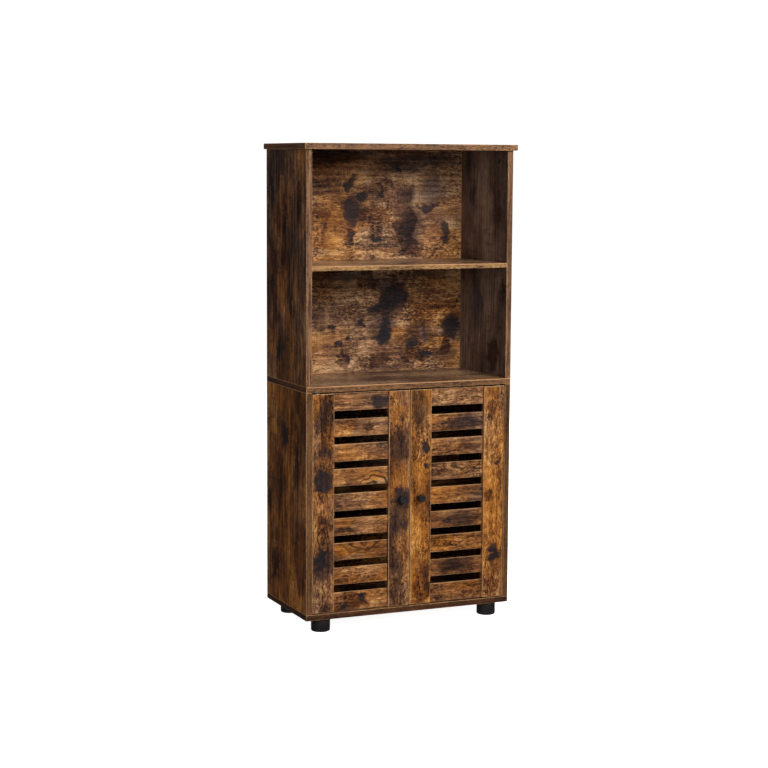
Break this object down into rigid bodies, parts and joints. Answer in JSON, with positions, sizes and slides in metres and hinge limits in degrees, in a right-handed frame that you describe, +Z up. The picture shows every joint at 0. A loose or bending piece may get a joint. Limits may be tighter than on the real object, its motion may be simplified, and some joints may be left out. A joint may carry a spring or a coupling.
{
  "type": "louvred door cabinet",
  "caption": "Tall free-standing cupboard in rustic brown board: open bays with a shelf above, a pair of inset louvred doors below, on short round black feet.",
  "frame": {"origin": "on the floor, under the middle of the whole object's bounding box", "axes": "+Z up, +Y towards the back, +X to the right when facing the doors"},
  "size_m": [0.6, 0.311, 1.259],
  "materials": {
    "board": "rustic brown wood-grain foil on particle board, satin",
    "door_wood": "rustic orange-brown wood-grain foil with dark knots, satin",
    "black_plastic": "satin black moulding",
    "nylon": "black nylon",
    "dark_zinc": "dark die-cast zinc",
    "steel": "zinc-plated steel",
    "ferrite": "sintered magnet"
  },
  "bodies": {
    "carcass": {"top_panel": "board", "deck_panel": "board", "bottom_panel": "board", "upper_left_side": "board", "upper_right_side": "board", "lower_left_side": "board", "lower_right_side": "board", "upper_back_panel": "board", "lower_back_panel": "board", "fixed_shelf": "board", "adjustable_shelf": "board", "front_left_foot": "black_plastic", "rear_left_foot": "black_plastic", "front_right_foot": "black_plastic", "rear_right_foot": "black_plastic", "front_left_cam_fitting": "dark_zinc", "rear_left_cam_fitting": "dark_zinc", "front_right_cam_fitting": "dark_zinc", "rear_right_cam_fitting": "dark_zinc", "front_left_shelf_pin": "steel", "rear_left_shelf_pin": "steel", "front_right_shelf_pin": "steel", "rear_right_shelf_pin": "steel", "lower_left_pivot_bush": "nylon", "upper_left_pivot_bush": "nylon", "lower_right_pivot_bush": "nylon", "upper_right_pivot_bush": "nylon", "catch_housing": "black_plastic", "left_catch_magnet": "ferrite", "right_catch_magnet": "ferrite"},
    "left_door": {"left_door_hinge_stile": "door_wood", "left_door_lock_stile": "door_wood", "left_door_top_rail": "door_wood", "left_door_slat_1": "door_wood", "left_door_slat_2": "door_wood", "left_door_slat_3": "door_wood", "left_door_slat_4": "door_wood", "left_door_slat_5": "door_wood", "left_door_slat_6": "door_wood", "left_door_slat_7": "door_wood", "left_door_bottom_rail": "door_wood", "left_door_lower_pivot_pin": "steel", "left_door_upper_pivot_pin": "steel", "left_door_knob": "black_plastic", "left_door_strike_plate": "steel"},
    "right_door": {"right_door_hinge_stile": "door_wood", "right_door_lock_stile": "door_wood", "right_door_top_rail": "door_wood", "right_door_slat_1": "door_wood", "right_door_slat_2": "door_wood", "right_door_slat_3": "door_wood", "right_door_slat_4": "door_wood", "right_door_slat_5": "door_wood", "right_door_slat_6": "door_wood", "right_door_slat_7": "door_wood", "right_door_bottom_rail": "door_wood", "right_door_lower_pivot_pin": "steel", "right_door_upper_pivot_pin": "steel", "right_door_knob": "black_plastic", "right_door_strike_plate": "steel"}
  },
  "joints": [
    {"name": "left_door_pivot", "type": "hinge", "parent": "carcass", "child": "left_door", "pos_m": [-0.259, -0.127, 0.052], "axis": [0, 0, -1], "range_deg": [0, 130]},
    {"name": "right_door_pivot", "type": "hinge", "parent": "carcass", "child": "right_door", "pos_m": [0.259, -0.127, 0.052], "axis": [0, 0, 1], "range_deg": [0, 130]}
  ]
}
